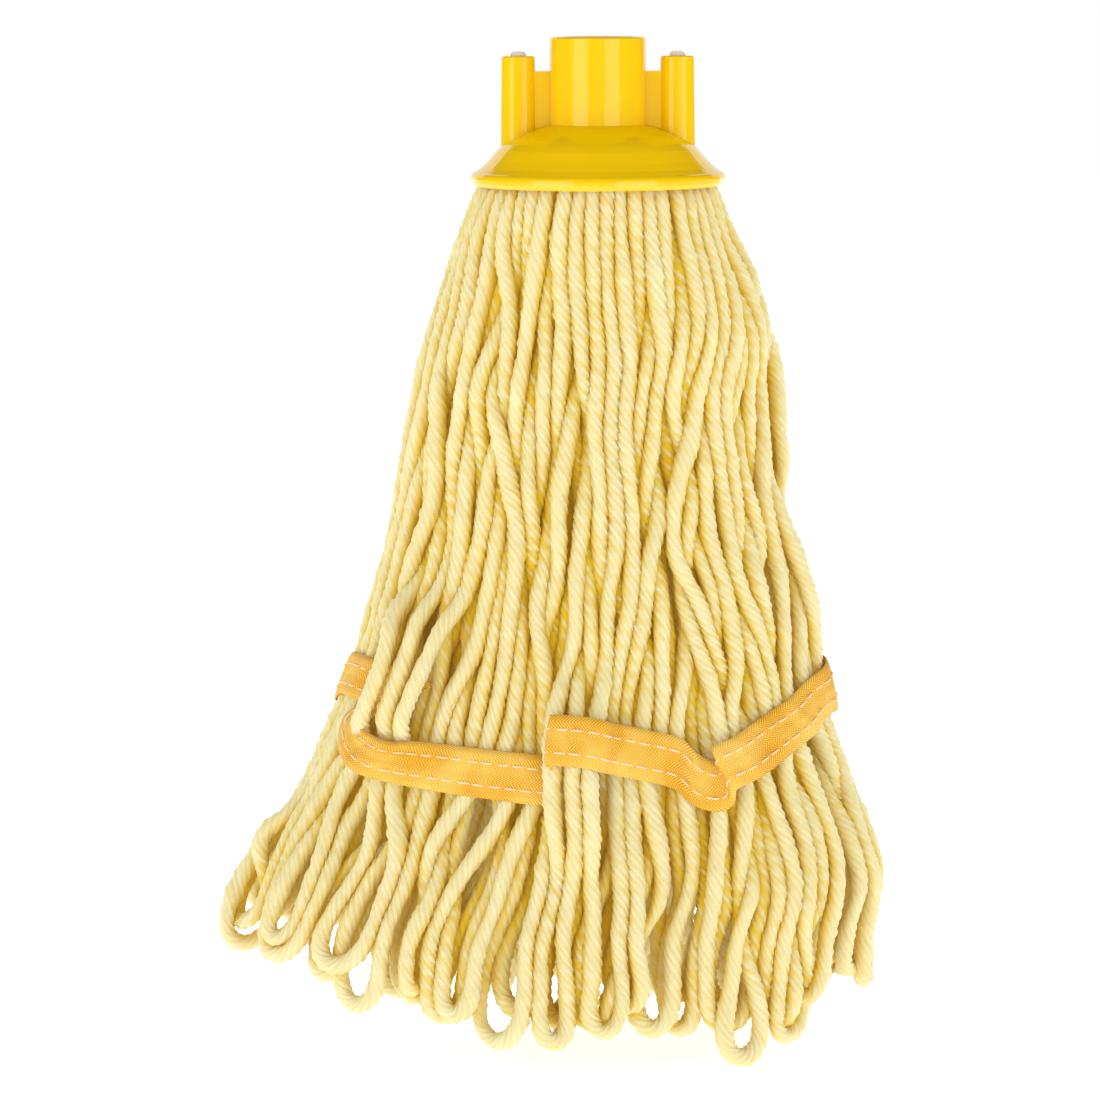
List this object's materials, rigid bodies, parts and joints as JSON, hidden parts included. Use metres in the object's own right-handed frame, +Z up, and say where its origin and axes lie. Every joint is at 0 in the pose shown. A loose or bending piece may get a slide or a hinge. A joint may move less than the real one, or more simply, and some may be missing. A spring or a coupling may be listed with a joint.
{
  "type": "string mop head",
  "caption": "Socket mop head: a moulded plastic handle socket clamping a skirt of looped twisted cotton yarn held together by a stitched stay tape.",
  "frame": {"origin": "centre of the handle socket's mouth, where the handle goes in", "axes": "+Z up along the handle, out of the socket; +X to the right along the retainer bar and through both towers; -Y is the front"},
  "size_m": [0.2196, 0.1076, 0.3409],
  "materials": {
    "socket_plastic": "glossy moulded yellow",
    "pin_plastic": "natural pinkish moulded",
    "cotton_yarn": "twisted plies, pale yellow, slightly fuzzy",
    "tape_webbing": "orange-yellow herringbone weave",
    "stitch_thread": "off-white sewing thread"
  },
  "bodies": {
    "socket": {"socket_shell": "socket_plastic", "yarn_retainer": "pin_plastic", "yarn_crown": "cotton_yarn"},
    "skirt": {"outer_hank_01": "cotton_yarn", "outer_hank_02": "cotton_yarn", "outer_hank_03": "cotton_yarn", "outer_hank_04": "cotton_yarn", "outer_hank_05": "cotton_yarn", "outer_hank_06": "cotton_yarn", "outer_hank_07": "cotton_yarn", "outer_hank_08": "cotton_yarn", "outer_hank_09": "cotton_yarn", "outer_hank_10": "cotton_yarn", "outer_hank_11": "cotton_yarn", "outer_hank_12": "cotton_yarn", "outer_hank_13": "cotton_yarn", "outer_hank_14": "cotton_yarn", "outer_hank_15": "cotton_yarn", "outer_hank_16": "cotton_yarn", "middle_hank_01": "cotton_yarn", "middle_hank_02": "cotton_yarn", "middle_hank_03": "cotton_yarn", "middle_hank_04": "cotton_yarn", "middle_hank_05": "cotton_yarn", "middle_hank_06": "cotton_yarn", "middle_hank_07": "cotton_yarn", "middle_hank_08": "cotton_yarn", "middle_hank_09": "cotton_yarn", "middle_hank_10": "cotton_yarn", "middle_hank_11": "cotton_yarn", "middle_hank_12": "cotton_yarn", "inner_hank_01": "cotton_yarn", "inner_hank_02": "cotton_yarn", "inner_hank_03": "cotton_yarn", "inner_hank_04": "cotton_yarn", "stay_tape_outer": "tape_webbing", "stay_tape_inner": "tape_webbing", "upper_stitching": "stitch_thread", "lower_stitching": "stitch_thread"}
  },
  "joints": [
    {"name": "skirt_swing", "type": "hinge", "parent": "socket", "child": "skirt", "pos_m": [0, 0, -0.04], "axis": [0, 1, 0], "range_deg": [-15, 15]}
  ]
}
